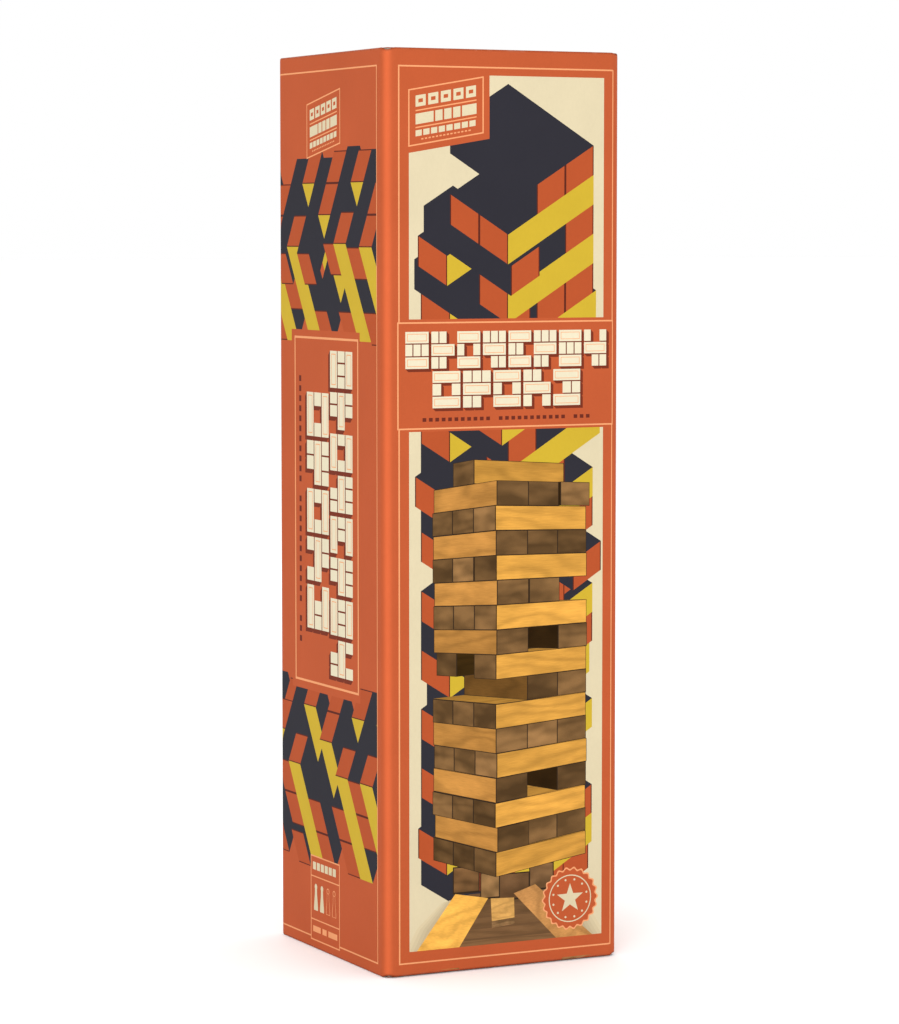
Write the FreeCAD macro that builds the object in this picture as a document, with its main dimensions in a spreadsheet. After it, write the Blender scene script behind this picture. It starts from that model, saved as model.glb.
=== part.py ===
import FreeCAD, Part
import os

# A wooden stacking-tower game in its rigid book-style box, closed and standing upright.
# Millimetres, +Z up. The origin is at the middle of the base: the front cover faces -Y,
# the cover's paper hinge is the vertical edge at -X -Y, and the closing flap lies on +X.

os.makedirs("parts", exist_ok=True)
doc = FreeCAD.newDocument("boxed_stacking_tower")

# ---- Driving sizes ---------------------------------------------------------------------

size = doc.addObject("Spreadsheet::Sheet", "size")
driving_sizes = {
    # The wooden blocks: three lie side by side in a layer, as wide as one block is long.
    "layer_count": 18,
    "block_length": 75,
    "block_thick": 15,
    "block_gap": 0.1,
    "block_ease": 0.8,
    # What is packed round the stack.
    "sleeve_card": 1.5,
    "stack_fit": 0.4,
    "pad_thick": 13,
    "end_play": 0.4,
    "leaflet_wide": 74,
    "leaflet_tall": 105,
    "leaflet_thick": 1.2,
    "leaflet_fit": 0.4,
    "mouth_play": 2.1,
    # The tray: greyboard, with paper where it can be seen from outside.
    "tray_board": 1.6,
    "tray_paper": 0.2,
    # The case: four greyboard panels, a printed wrap outside and a lining inside.
    "case_board": 1.5,
    "wrap_paper": 0.2,
    "lining_paper": 0.1,
    "lining_margin": 2,
    "fold_radius": 4,
    # Running clearances of the cover and the flap.
    "cover_gap": 0.3,
    "cover_lift": 0.4,
    "flap_end_gap": 0.6,
    # The closing magnets, one row in the flap and one in the tray.
    "magnet_diameter": 10,
    "magnet_thick": 1,
    "magnet_fit": 0.05,
    "magnet_from_end": 30,
    "magnet_from_back": 14,
    # How far in from the corner of two panels a paper fold turns, as a share of its radius.
    "hinge_share": 0.215,
}
for row, (alias, value) in enumerate(driving_sizes.items(), start=1):
    size.set(f"A{row}", str(value))
    size.setAlias(f"A{row}", alias)
doc.recompute()
layer_count = int(size.layer_count)

# ---- Places worked out from the driving sizes ------------------------------------------

place = doc.addObject("Spreadsheet::Sheet", "place")
worked_out_places = {
    "block_wide": "(size.block_length - 2 * size.block_gap) / 3",
    "stack_tall": "size.layer_count * size.block_thick",
    "case_thick": "size.wrap_paper + size.case_board",
    "cover_thick": "case_thick + size.lining_paper",
    "cavity_wide": "size.block_length + 2 * (size.stack_fit + size.sleeve_card)",
    "cavity_deep": "size.mouth_play + size.leaflet_thick + size.leaflet_fit + size.block_length"
                   " + size.stack_fit + size.sleeve_card",
    "cavity_tall": "stack_tall + 2 * size.pad_thick + size.end_play",
    "total_wide": "case_thick + size.tray_board + cavity_wide + size.tray_board"
                  " + size.tray_paper + size.cover_gap + cover_thick",
    "total_deep": "cover_thick + size.cover_gap + cavity_deep + size.tray_board + case_thick",
    "total_tall": "cavity_tall + 2 * (size.tray_board + size.tray_paper)",
    "case_left": "-total_wide / 2",
    "case_right": "total_wide / 2",
    "case_front": "-total_deep / 2",
    "case_back": "total_deep / 2",
    "fold_left": "case_left + size.fold_radius",
    "fold_right": "case_right - size.fold_radius",
    "fold_front": "case_front + size.fold_radius",
    "fold_back": "case_back - size.fold_radius",
    "tray_left": "case_left + case_thick",
    "tray_right": "tray_left + 2 * size.tray_board + cavity_wide",
    "tray_front": "case_front + cover_thick + size.cover_gap",
    "tray_back": "case_back - case_thick",
    "tray_wide": "tray_right - tray_left",
    "tray_deep": "tray_back - tray_front",
    "cavity_left": "tray_left + size.tray_board",
    "cavity_right": "tray_right - size.tray_board",
    "cavity_back": "tray_back - size.tray_board",
    "cavity_floor": "size.tray_paper + size.tray_board",
    "stack_left": "cavity_left + size.sleeve_card + size.stack_fit",
    "stack_front": "tray_front + size.mouth_play + size.leaflet_thick + size.leaflet_fit",
    "stack_base": "cavity_floor + size.pad_thick",
    "flap_back": "tray_back - size.flap_end_gap",
    "magnet_back": "flap_back - size.magnet_from_back",
    "cover_tall": "total_tall - size.cover_lift",
    "hinge_inset": "size.fold_radius * size.hinge_share",
}
for row, (alias, formula) in enumerate(worked_out_places.items(), start=1):
    place.set(f"A{row}", "=" + formula)
    place.setAlias(f"A{row}", alias)
doc.recompute()

# ---- Makers ----------------------------------------------------------------------------

kept_parts = []


def keep(piece, name):
    """Give a finished piece its name and put it on the list of parts to write."""
    piece.Label = name
    kept_parts.append(piece)
    return piece


def set_base(piece, left, front, base):
    """Put a piece's own origin at a place given by three expressions."""
    piece.setExpression("Placement.Base.x", left)
    piece.setExpression("Placement.Base.y", front)
    piece.setExpression("Placement.Base.z", base)


def slab(name, corner, sides):
    """A flat-sided piece from its low corner and its three sides, all expressions."""
    piece = doc.addObject("Part::Box", name)
    set_base(piece, *corner)
    piece.setExpression("Length", sides[0])
    piece.setExpression("Width", sides[1])
    piece.setExpression("Height", sides[2])
    return piece


def fold_strip(name, middle, base, tall, turn):
    """A quarter-round strip of wrap paper; turn is where its sweep starts, in degrees."""
    rounds = []
    for side, radius in (("outer", "size.fold_radius"),
                         ("inner", "size.fold_radius - size.wrap_paper")):
        drum = doc.addObject("Part::Cylinder", f"{name}_{side}")
        drum.Placement.Rotation = FreeCAD.Rotation(FreeCAD.Vector(0, 0, 1), turn)
        set_base(drum, middle[0], middle[1], base)
        drum.setExpression("Radius", radius)
        drum.setExpression("Height", tall)
        drum.Angle = 90
        rounds.append(drum)
    strip = doc.addObject("Part::Cut", name)
    strip.Base, strip.Tool = rounds
    return strip


def magnet_row(name, left, radius, thick):
    """Three discs in a column, lying flat against a wall that faces +X."""
    discs = []
    heights = ("size.magnet_from_end",
               "place.total_tall / 2",
               "place.total_tall - size.magnet_from_end")
    for number, height in enumerate(heights, start=1):
        disc = doc.addObject("Part::Cylinder", f"{name}_disc{number}")
        disc.Placement.Rotation = FreeCAD.Rotation(FreeCAD.Vector(0, 1, 0), 90)
        set_base(disc, left, "place.magnet_back", height)
        disc.setExpression("Radius", radius)
        disc.setExpression("Height", thick)
        discs.append(disc)
    row_of_discs = doc.addObject("Part::Compound", name)
    row_of_discs.Links = discs
    return row_of_discs


def pocketed(name, blank, pocket_left):
    """A board with blind round pockets for its magnets."""
    tool = magnet_row(f"{name}_pockets", pocket_left,
                      "size.magnet_diameter / 2 + size.magnet_fit",
                      "size.magnet_thick + size.magnet_fit")
    board = doc.addObject("Part::Cut", name)
    board.Base = blank
    board.Tool = tool
    return board


# ---- The wooden blocks: layer_01 at the bottom, each layer turned a quarter ------------

for layer in range(1, layer_count + 1):
    name = f"layer_{layer:02d}"
    body = doc.addObject("PartDesign::Body", name)
    body.AllowCompound = True
    along_x = layer % 2 == 1
    block = None
    for number in range(3):
        block = body.newObject("PartDesign::AdditiveBox", f"{name}_block{number + 1}")
        block.setExpression("Length", "size.block_length" if along_x else "place.block_wide")
        block.setExpression("Width", "place.block_wide" if along_x else "size.block_length")
        block.setExpression("Height", "size.block_thick")
        across = "y" if along_x else "x"
        block.setExpression(f"Placement.Base.{across}",
                            f"{number} * (place.block_wide + size.block_gap)")
    doc.recompute()
    eased = body.newObject("PartDesign::Fillet", f"{name}_eased")
    eased.Base = (block, [""])
    eased.UseAllEdges = True
    eased.setExpression("Radius", "min(size.block_ease; size.block_thick / 4)")
    body.Tip = eased
    set_base(body, "place.stack_left", "place.stack_front",
             f"place.stack_base + {layer - 1} * size.block_thick")
    keep(body, name)

# ---- What is packed with them ----------------------------------------------------------

# The stacking sleeve: one folded card round the back and both sides of the stack.
sleeve_outside = slab("sleeve_outside",
                      ("place.cavity_left", "place.stack_front", "place.stack_base"),
                      ("place.cavity_wide", "place.cavity_back - place.stack_front",
                       "place.stack_tall"))
sleeve_inside = slab("sleeve_inside",
                     ("place.cavity_left + size.sleeve_card", "place.stack_front",
                      "place.stack_base"),
                     ("place.cavity_wide - 2 * size.sleeve_card",
                      "size.block_length + size.stack_fit", "place.stack_tall"))
sleeve = doc.addObject("Part::Cut", "stacking_sleeve")
sleeve.Base = sleeve_outside
sleeve.Tool = sleeve_inside
keep(sleeve, "stacking_sleeve")

# The two end pads fill the tray's width and depth above and below the stack.
for name, base in (("bottom_pad", "place.cavity_floor"),
                   ("top_pad", "place.stack_base + place.stack_tall + size.end_play")):
    keep(slab(name, ("place.cavity_left", "place.stack_front", base),
              ("place.cavity_wide", "place.cavity_back - place.stack_front",
               "size.pad_thick")), name)

# The folded rules leaflet stands in front of the stack, on the tray's floor.
keep(slab("rules_leaflet",
          ("place.cavity_left + (place.cavity_wide - size.leaflet_wide) / 2",
           "place.tray_front + size.mouth_play", "place.cavity_floor"),
          ("size.leaflet_wide", "size.leaflet_thick", "size.leaflet_tall")), "rules_leaflet")

# ---- The tray: open at the front, walls between its two ends ---------------------------

keep(slab("tray_left_wall", ("place.tray_left", "place.tray_front", "place.cavity_floor"),
          ("size.tray_board", "place.tray_deep", "place.cavity_tall")), "tray_left_wall")

right_blank = slab("tray_right_wall_blank",
                   ("place.cavity_right", "place.tray_front", "place.cavity_floor"),
                   ("size.tray_board", "place.tray_deep", "place.cavity_tall"))
keep(pocketed("tray_right_wall", right_blank,
              "place.tray_right - size.magnet_thick - size.magnet_fit"), "tray_right_wall")

keep(slab("tray_back_wall", ("place.cavity_left", "place.cavity_back", "place.cavity_floor"),
          ("place.cavity_wide", "size.tray_board", "place.cavity_tall")), "tray_back_wall")

for name, base in (("tray_bottom_end", "size.tray_paper"),
                   ("tray_top_end", "place.cavity_floor + place.cavity_tall")):
    keep(slab(name, ("place.tray_left", "place.tray_front", base),
              ("place.tray_wide", "place.tray_deep", "size.tray_board")), name)

for name, base in (("tray_base_paper", "0"),
                   ("tray_top_paper", "place.total_tall - size.tray_paper")):
    keep(slab(name, ("place.tray_left", "place.tray_front", base),
              ("place.tray_wide", "place.tray_deep", "size.tray_paper")), name)

keep(slab("tray_side_paper", ("place.tray_right", "place.tray_front", "0"),
          ("size.tray_paper", "place.tray_deep", "place.total_tall")), "tray_side_paper")

keep(magnet_row("tray_magnets",
                "place.tray_right - size.magnet_thick - size.magnet_fit",
                "size.magnet_diameter / 2", "size.magnet_thick"), "tray_magnets")

# ---- The fixed half of the case: side and back panels glued to the tray ----------------

keep(slab("side_board", ("place.tray_left - size.case_board", "place.fold_front", "0"),
          ("size.case_board", "place.fold_back - place.fold_front", "place.total_tall")),
     "side_board")

keep(slab("back_board", ("place.fold_left", "place.tray_back", "0"),
          ("place.case_right - place.fold_left", "size.case_board", "place.total_tall")),
     "back_board")

side_sheet = slab("side_sheet", ("place.case_left", "place.fold_front", "0"),
                  ("size.wrap_paper", "place.fold_back - place.fold_front",
                   "place.total_tall"))
back_sheet = slab("back_sheet",
                  ("place.fold_left", "place.case_back - size.wrap_paper", "0"),
                  ("place.case_right - place.fold_left", "size.wrap_paper",
                   "place.total_tall"))
back_fold = fold_strip("back_fold", ("place.fold_left", "place.fold_back"), "0",
                       "place.total_tall", 90)
case_wrap = doc.addObject("Part::MultiFuse", "case_wrap")
case_wrap.Shapes = [side_sheet, back_fold, back_sheet]
keep(case_wrap, "case_wrap")

# ---- The front cover, on its paper hinge -----------------------------------------------

keep(slab("front_board",
          ("place.fold_left", "place.case_front + size.wrap_paper", "size.cover_lift"),
          ("place.fold_right - place.fold_left", "size.case_board", "place.cover_tall")),
     "front_board")

keep(slab("front_wrap", ("place.fold_left", "place.case_front", "size.cover_lift"),
          ("place.fold_right - place.fold_left", "size.wrap_paper", "place.cover_tall")),
     "front_wrap")

keep(slab("front_lining",
          ("place.fold_left + size.lining_margin",
           "place.case_front + place.case_thick", "size.cover_lift + size.lining_margin"),
          ("place.fold_right - place.fold_left - 2 * size.lining_margin",
           "size.lining_paper", "place.cover_tall - 2 * size.lining_margin")), "front_lining")

keep(fold_strip("cover_fold", ("place.fold_left", "place.fold_front"), "size.cover_lift",
                "place.cover_tall", 180), "cover_fold")

# ---- The closing flap, on the fold at the cover's free edge ----------------------------

flap_blank = slab("flap_board_blank",
                  ("place.case_right - place.case_thick", "place.fold_front",
                   "size.cover_lift"),
                  ("size.case_board", "place.flap_back - place.fold_front",
                   "place.cover_tall"))
keep(pocketed("flap_board", flap_blank, "place.case_right - place.case_thick"), "flap_board")

keep(slab("flap_wrap",
          ("place.case_right - size.wrap_paper", "place.fold_front", "size.cover_lift"),
          ("size.wrap_paper", "place.flap_back - place.fold_front", "place.cover_tall")),
     "flap_wrap")

keep(slab("flap_lining",
          ("place.case_right - place.cover_thick", "place.fold_front + size.lining_margin",
           "size.cover_lift + size.lining_margin"),
          ("size.lining_paper", "place.flap_back - place.fold_front - 2 * size.lining_margin",
           "place.cover_tall - 2 * size.lining_margin")), "flap_lining")

keep(fold_strip("flap_fold", ("place.fold_right", "place.fold_front"), "size.cover_lift",
                "place.cover_tall", 270), "flap_fold")

keep(magnet_row("flap_magnets",
                "place.case_right - place.case_thick + size.magnet_fit",
                "size.magnet_diameter / 2", "size.magnet_thick"), "flap_magnets")

# ---- Check the model, then write one file for each part --------------------------------

doc.recompute()
for item in doc.Objects:
    if "Invalid" in item.State or "Error" in item.State:
        raise RuntimeError(f"{item.Name} did not rebuild: {item.State}")
for piece in kept_parts:
    if piece.Shape.isNull() or not piece.Shape.isValid():
        raise RuntimeError(f"{piece.Label} has no valid shape")
for piece in kept_parts:
    piece.Shape.exportStep(f"parts/{piece.Label}.step")

print(f"box {place.total_wide:.2f} x {place.total_deep:.2f} x {place.total_tall:.2f} mm,"
      f" {len(kept_parts)} parts")
for hinge, edge in (("cover hinge", place.case_left + place.hinge_inset),
                    ("flap hinge", place.case_right - place.hinge_inset)):
    print(f"{hinge}: x {edge:.3f}, y {place.case_front + place.hinge_inset:.3f} mm, vertical")
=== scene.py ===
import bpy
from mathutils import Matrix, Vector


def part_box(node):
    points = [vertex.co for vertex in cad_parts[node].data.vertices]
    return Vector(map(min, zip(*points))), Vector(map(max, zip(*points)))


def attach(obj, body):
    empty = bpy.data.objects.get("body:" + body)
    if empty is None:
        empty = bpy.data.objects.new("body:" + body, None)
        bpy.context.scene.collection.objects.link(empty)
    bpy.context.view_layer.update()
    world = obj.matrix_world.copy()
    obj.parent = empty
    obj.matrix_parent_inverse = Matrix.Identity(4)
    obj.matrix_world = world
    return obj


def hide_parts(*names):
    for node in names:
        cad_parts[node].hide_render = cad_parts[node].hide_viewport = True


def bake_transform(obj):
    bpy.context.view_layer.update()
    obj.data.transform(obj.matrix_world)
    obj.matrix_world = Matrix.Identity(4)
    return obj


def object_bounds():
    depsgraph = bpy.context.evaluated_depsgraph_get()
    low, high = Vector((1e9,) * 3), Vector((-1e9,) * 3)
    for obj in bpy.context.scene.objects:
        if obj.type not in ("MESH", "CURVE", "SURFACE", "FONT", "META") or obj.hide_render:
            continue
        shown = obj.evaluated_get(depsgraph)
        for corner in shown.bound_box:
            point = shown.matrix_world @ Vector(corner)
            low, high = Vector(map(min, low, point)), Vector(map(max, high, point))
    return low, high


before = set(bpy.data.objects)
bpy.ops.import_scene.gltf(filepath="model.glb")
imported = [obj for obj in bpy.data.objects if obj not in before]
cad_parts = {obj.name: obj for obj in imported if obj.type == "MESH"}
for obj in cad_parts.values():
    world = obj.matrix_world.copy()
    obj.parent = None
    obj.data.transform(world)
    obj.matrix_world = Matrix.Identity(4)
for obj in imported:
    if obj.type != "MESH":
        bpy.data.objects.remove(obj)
cad_box = [list(corner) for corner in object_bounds()]

import math
import random

import bmesh
import bpy
from mathutils import Vector
from mathutils.geometry import delaunay_2d_cdt

# ---- The studio --------------------------------------------------------------------------
# A pale floor and soft light from large panels above, in front and at both sides. The camera
# stands a little left of the front cover, at about four fifths of the box's height.

MM = 0.001
box_low, box_high = (Vector(corner) for corner in cad_box)
box_tall = box_high.z
floor_colour = (0.965, 0.965, 0.96, 1)

bpy.context.scene.view_settings.view_transform = "Standard"

bpy.ops.mesh.primitive_plane_add(size=60, location=(0, 0, 0))
floor = bpy.context.object
floor.name = "studio_floor"
floor_material = bpy.data.materials.new("studio floor")
floor_material.use_nodes = True
floor_shader = floor_material.node_tree.nodes["Principled BSDF"]
floor_shader.inputs["Base Color"].default_value = floor_colour
floor_shader.inputs["Roughness"].default_value = 0.9
floor_shader.inputs["Emission Color"].default_value = floor_colour
floor_shader.inputs["Emission Strength"].default_value = 0.045
floor.data.materials.append(floor_material)

studio_world = bpy.data.worlds.new("studio")
bpy.context.scene.world = studio_world
studio_world.use_nodes = True
background = studio_world.node_tree.nodes["Background"]
background.inputs["Color"].default_value = (1, 1, 1, 1)
background.inputs["Strength"].default_value = 1.0


def light_panel(name, place, side, watts):
    """A soft square light that faces the middle of the box."""
    bpy.ops.object.light_add(type="AREA", location=place)
    light = bpy.context.object
    light.name = name
    light.data.size = side
    light.data.energy = watts
    aim = Vector((0, 0, box_tall / 2)) - Vector(place)
    light.rotation_euler = aim.to_track_quat("-Z", "Y").to_euler()


light_panel("key_light", (-0.95, -1.35, 0.8), 0.7, 12.5)
light_panel("front_light", (0.7, -1.5, 0.9), 1.0, 1.5)
light_panel("side_light", (1.5, 0.1, 0.8), 0.9, 1.2)
light_panel("back_light", (0.3, 1.5, 1.2), 1.0, 4)

view_turn = math.radians(-26.38)
view_rise = math.radians(4.449)
view_distance = 1.206
view_right = Vector((math.cos(view_turn), math.sin(view_turn), 0))
view_from = Vector((math.sin(view_turn) * math.cos(view_rise),
                    -math.cos(view_turn) * math.cos(view_rise), math.sin(view_rise)))
view_aim = 0.00109 * view_right + Vector((0, 0, 0.14737))
bpy.ops.object.camera_add(location=view_aim + view_distance * view_from,
                          rotation=(-view_from).to_track_quat("-Z", "Y").to_euler())
camera = bpy.context.object
camera.data.lens = 125.9
camera.data.sensor_width = 36
bpy.context.scene.camera = camera


# ---- The tray's boards -------------------------------------------------------------------
# Five pieces of grey pulp board glued edge to edge: two ends, two side walls and a back. The
# board is die-cut, so its edges are a little soft, and recycled fibres speckle its faces.

board_grey = (0.330, 0.285, 0.225, 1)
board_speck = (0.120, 0.100, 0.080, 1)
board_ease = 0.25


def add_node(tree, kind, inputs=None, **settings):
    """Add a shader node. Its inputs, by name or number, take values or other nodes' outputs."""
    made = tree.nodes.new("ShaderNode" + kind)
    for name, value in settings.items():
        setattr(made, name, value)
    for socket, value in (inputs or {}).items():
        if isinstance(value, bpy.types.NodeSocket):
            tree.links.new(value, made.inputs[socket])
        else:
            made.inputs[socket].default_value = value
    return made


def maths(tree, operation, *values, clamp=False):
    return add_node(tree, "Math", dict(enumerate(values)), operation=operation,
                    use_clamp=clamp).outputs[0]


def mixed_colour(tree, share, first, second, blend_type="MIX"):
    """Two colours mixed by a share from 0 to 1."""
    return add_node(tree, "Mix", {0: share, 6: first, 7: second}, data_type="RGBA",
                    blend_type=blend_type).outputs[2]


def noise(tree, place, scale, detail=2.0, stretch=(1, 1, 1)):
    """Noise from about 0.3 to 0.7, with so many waves to a metre, or to a millimetre."""
    placed = add_node(tree, "Mapping", {"Vector": place, "Scale": stretch}).outputs[0]
    return add_node(tree, "TexNoise", {"Vector": placed, "Scale": scale, "Detail": detail}).outputs[0]


def object_place(tree):
    return add_node(tree, "TexCoord").outputs["Object"]


def shader_group(name, inputs, outputs):
    """An empty group of shader nodes with named sockets: the group, its input and its output."""
    group = bpy.data.node_groups.new(name, "ShaderNodeTree")
    for socket_name, (kind, start) in inputs.items():
        socket = group.interface.new_socket(name=socket_name, in_out="INPUT",
                                            socket_type="NodeSocket" + kind)
        if start is not None:
            socket.default_value = start
    for socket_name, kind in outputs.items():
        group.interface.new_socket(name=socket_name, in_out="OUTPUT",
                                   socket_type="NodeSocket" + kind)
    return group, group.nodes.new("NodeGroupInput").outputs, group.nodes.new("NodeGroupOutput").inputs


def place_group(tree, group, inputs):
    """Put a group in a material with its own values. Returns its outputs."""
    made = tree.nodes.new("ShaderNodeGroup")
    made.node_tree = group
    for socket, value in inputs.items():
        if isinstance(value, bpy.types.NodeSocket):
            tree.links.new(value, made.inputs[socket])
        else:
            made.inputs[socket].default_value = value
    return made.outputs


def new_material(name, roughness, metallic=0.0):
    material = bpy.data.materials.new(name)
    material.use_nodes = True
    shader = material.node_tree.nodes["Principled BSDF"]
    shader.inputs["Roughness"].default_value = roughness
    shader.inputs["Metallic"].default_value = metallic
    return material, material.node_tree, shader


def bumped(tree, shader, height, distance, strength=1.0):
    bump = add_node(tree, "Bump", {"Height": height, "Distance": distance, "Strength": strength})
    tree.links.new(bump.outputs[0], shader.inputs["Normal"])


# Paper fibre: fine felted fibres with a slow mottle. Tone goes from about 0.9 to 1.1.
paper_fibre, fibre_in, fibre_out = shader_group(
    "paper fibre", {"Place": ("Vector", None), "Mottle": ("Float", 0.06)},
    {"Tone": "Float", "Height": "Float"})
fine = noise(paper_fibre, fibre_in["Place"], 1400, 3, (1, 1, 0.45))
slow = noise(paper_fibre, fibre_in["Place"], 55, 4)
both = maths(paper_fibre, "ADD", maths(paper_fibre, "MULTIPLY", slow, 1.4),
             maths(paper_fibre, "MULTIPLY", fine, 0.6))
paper_fibre.links.new(maths(paper_fibre, "ADD", 1.0, maths(
    paper_fibre, "MULTIPLY", maths(paper_fibre, "SUBTRACT", both, 1.0), fibre_in["Mottle"])),
    fibre_out["Tone"])
paper_fibre.links.new(fine, fibre_out["Height"])


def fibrous(name, roughness, colour, mottle, relief, speck=None):
    """A paper or board: one colour, specks of another, mottled, its fibres so many metres high."""
    material, tree, shader = new_material(name, roughness)
    fibre = place_group(tree, paper_fibre, {"Place": object_place(tree), "Mottle": mottle})
    if speck:
        specks = maths(tree, "GREATER_THAN", noise(tree, object_place(tree), 900, 1), 0.64)
        colour = mixed_colour(tree, maths(tree, "MULTIPLY", specks, 0.55), colour, speck)
    tree.links.new(mixed_colour(tree, 1.0, colour, fibre["Tone"], "MULTIPLY"),
                   shader.inputs["Base Color"])
    if relief:
        bumped(tree, shader, fibre["Height"], relief)
    return material


greyboard = fibrous("greyboard", 0.88, board_grey, 0.5, 0.00006, board_speck)


def select_only(pieces):
    bpy.ops.object.select_all(action="DESELECT")
    for piece in pieces:
        piece.select_set(True)
    bpy.context.view_layer.objects.active = pieces[0]


def apply_modifiers(piece):
    select_only([piece])
    for modifier in list(piece.modifiers):
        bpy.ops.object.modifier_apply(modifier=modifier.name)


def joined(pieces, name):
    select_only(pieces)
    bpy.ops.object.join()
    pieces[0].name = pieces[0].data.name = name
    return pieces[0]


def stand_for(piece, node_name, body, material=None):
    """A finished piece takes a CAD node's place and body and hides the node, with its own material."""
    if material:
        piece.data.materials.append(material)
    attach(piece, body)
    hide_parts(node_name)


def eased_block(name, low, high, ease, segments=2):
    """A block between two corners in millimetres, its edges eased, with its place in its mesh."""
    bpy.ops.object.select_all(action="DESELECT")
    bpy.ops.mesh.primitive_cube_add(size=1)
    piece = bpy.context.object
    piece.name = piece.data.name = name
    middle, size = (Vector(low) + Vector(high)) / 2 * MM, (Vector(high) - Vector(low)) * MM
    bpy.ops.object.mode_set(mode="EDIT")
    bpy.ops.mesh.select_all(action="SELECT")
    bpy.ops.transform.resize(value=size, center_override=(0, 0, 0))
    bpy.ops.transform.translate(value=middle)
    if ease:
        bpy.ops.mesh.bevel(offset=ease * MM, segments=segments, affect="EDGES")
    bpy.ops.object.mode_set(mode="OBJECT")
    piece.data.shade_smooth()
    bpy.ops.object.shade_smooth_by_angle(angle=math.radians(30))
    return piece


def fit_over(node_name, name, body, material, ease, inset=(0, 0, 0)):
    """An eased block in the place of a CAD node, riding its body and taking over its look."""
    low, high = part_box(node_name)
    inset = Vector(inset)
    piece = eased_block(name, low / MM + inset, high / MM - inset, ease)
    stand_for(piece, node_name, body, material)


for wall in ("tray_left_wall", "tray_right_wall", "tray_back_wall", "tray_bottom_end", "tray_top_end"):
    fit_over(wall, wall + "_board", "box", greyboard, board_ease)

# ---- The tray's cover papers -------------------------------------------------------------
# Plain red-orange paper glued over the tray's two ends and its right side, the faces that
# show beside the case. It is uncoated, so its fibres show a little.

lining_red = (0.400, 0.070, 0.026, 1)
paper_ease = 0.05

lining_paper = fibrous("lining paper", 0.72, lining_red, 0.22, 0.00003)

for paper in ("tray_base_paper", "tray_top_paper", "tray_side_paper"):
    fit_over(paper, paper + "_glued", "box", lining_paper, paper_ease)

# ---- The magnets -------------------------------------------------------------------------
# Thin nickel-plated discs, three in the tray's right wall and three in the flap. They sit in
# pockets under the papers and hold the flap shut.

nickel_grey = (0.62, 0.60, 0.56, 1)
magnet_ease = 0.12

nickel, nickel_tree, nickel_shader = new_material("nickel plating", 0.24, 1.0)
nickel_shader.inputs["Base Color"].default_value = nickel_grey
nickel_tree.links.new(maths(nickel_tree, "MULTIPLY_ADD", noise(nickel_tree, object_place(nickel_tree),
                                                               700, 2), 0.3, 0.12),
                      nickel_shader.inputs["Roughness"])
for magnets, body in (("tray_magnets", "box"), ("flap_magnets", "flap")):
    low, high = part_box(magnets)
    radius = (high.y - low.y) / 2
    discs = []
    for height in (low.z + radius, (low.z + high.z) / 2, high.z - radius):
        bpy.ops.object.select_all(action="DESELECT")
        bpy.ops.mesh.primitive_cylinder_add(vertices=48, radius=radius, depth=high.x - low.x)
        disc = bpy.context.object
        bpy.ops.object.mode_set(mode="EDIT")
        bpy.ops.mesh.select_all(action="SELECT")
        bpy.ops.transform.rotate(value=math.pi / 2, orient_axis="Y", center_override=(0, 0, 0))
        bpy.ops.transform.translate(value=((low.x + high.x) / 2, (low.y + high.y) / 2, height))
        bpy.ops.mesh.bevel(offset=magnet_ease * MM, segments=2, affect="EDGES")
        bpy.ops.object.mode_set(mode="OBJECT")
        discs.append(disc)
    plated = joined(discs, magnets + "_plated")
    bpy.ops.object.shade_smooth_by_angle(angle=math.radians(30))
    stand_for(plated, magnets, body, nickel)

# ---- The filling pads --------------------------------------------------------------------
# Two pads of brown corrugated card under and over the stack, five sheets glued together. The
# flutes show on the pads' sides as waves between flat liners, with painted shade in the hollows.

card_brown = (0.420, 0.270, 0.140, 1)
painted_flute_shade = (0.150, 0.088, 0.042, 1)
pad_sheets = 5
pad_ease = 0.35
flute_pitch, flute_reach, flute_half, liner_half = 6.2, 0.34, 0.13, 0.11

pad_card, pad_tree, pad_shader = new_material("pad card", 0.85)
pad_low, pad_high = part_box("bottom_pad")
pad_sheet = (pad_high.z - pad_low.z) / pad_sheets
pad_place = add_node(pad_tree, "SeparateXYZ", {0: object_place(pad_tree)}).outputs
wave = maths(pad_tree, "SINE", maths(pad_tree, "MULTIPLY", maths(
    pad_tree, "ADD", pad_place[0], pad_place[1]), 2 * math.pi / (flute_pitch * MM)))
level = maths(pad_tree, "FRACT", maths(pad_tree, "DIVIDE", maths(
    pad_tree, "SUBTRACT", pad_place[2], pad_low.z), pad_sheet))
off_flute = maths(pad_tree, "ABSOLUTE", maths(pad_tree, "SUBTRACT", level, maths(
    pad_tree, "MULTIPLY_ADD", wave, flute_reach, 0.5)))
off_liner = maths(pad_tree, "SUBTRACT", 0.5, maths(pad_tree, "ABSOLUTE",
                                                   maths(pad_tree, "SUBTRACT", level, 0.5)))
hollow = maths(pad_tree, "MULTIPLY", maths(pad_tree, "GREATER_THAN", off_flute, flute_half),
               maths(pad_tree, "GREATER_THAN", off_liner, liner_half))
upright = add_node(pad_tree, "SeparateXYZ", {0: add_node(pad_tree, "NewGeometry").outputs["Normal"]})
on_side = maths(pad_tree, "LESS_THAN", maths(pad_tree, "ABSOLUTE", upright.outputs[2]), 0.5)
hollow = maths(pad_tree, "MULTIPLY", hollow, on_side)
pad_fibre = place_group(pad_tree, paper_fibre, {"Place": object_place(pad_tree), "Mottle": 0.5})
# The hollows between flutes and liners on the pads' sides get a darker brown: painted shade.
pad_tree.links.new(mixed_colour(pad_tree, 1.0, mixed_colour(pad_tree, hollow, card_brown, painted_flute_shade),
                                pad_fibre["Tone"], "MULTIPLY"), pad_shader.inputs["Base Color"])
bumped(pad_tree, pad_shader, maths(pad_tree, "SUBTRACT", 1.0, hollow), 0.0003)
for pad in ("bottom_pad", "top_pad"):
    fit_over(pad, pad + "_card", "box", pad_card, pad_ease)

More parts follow.
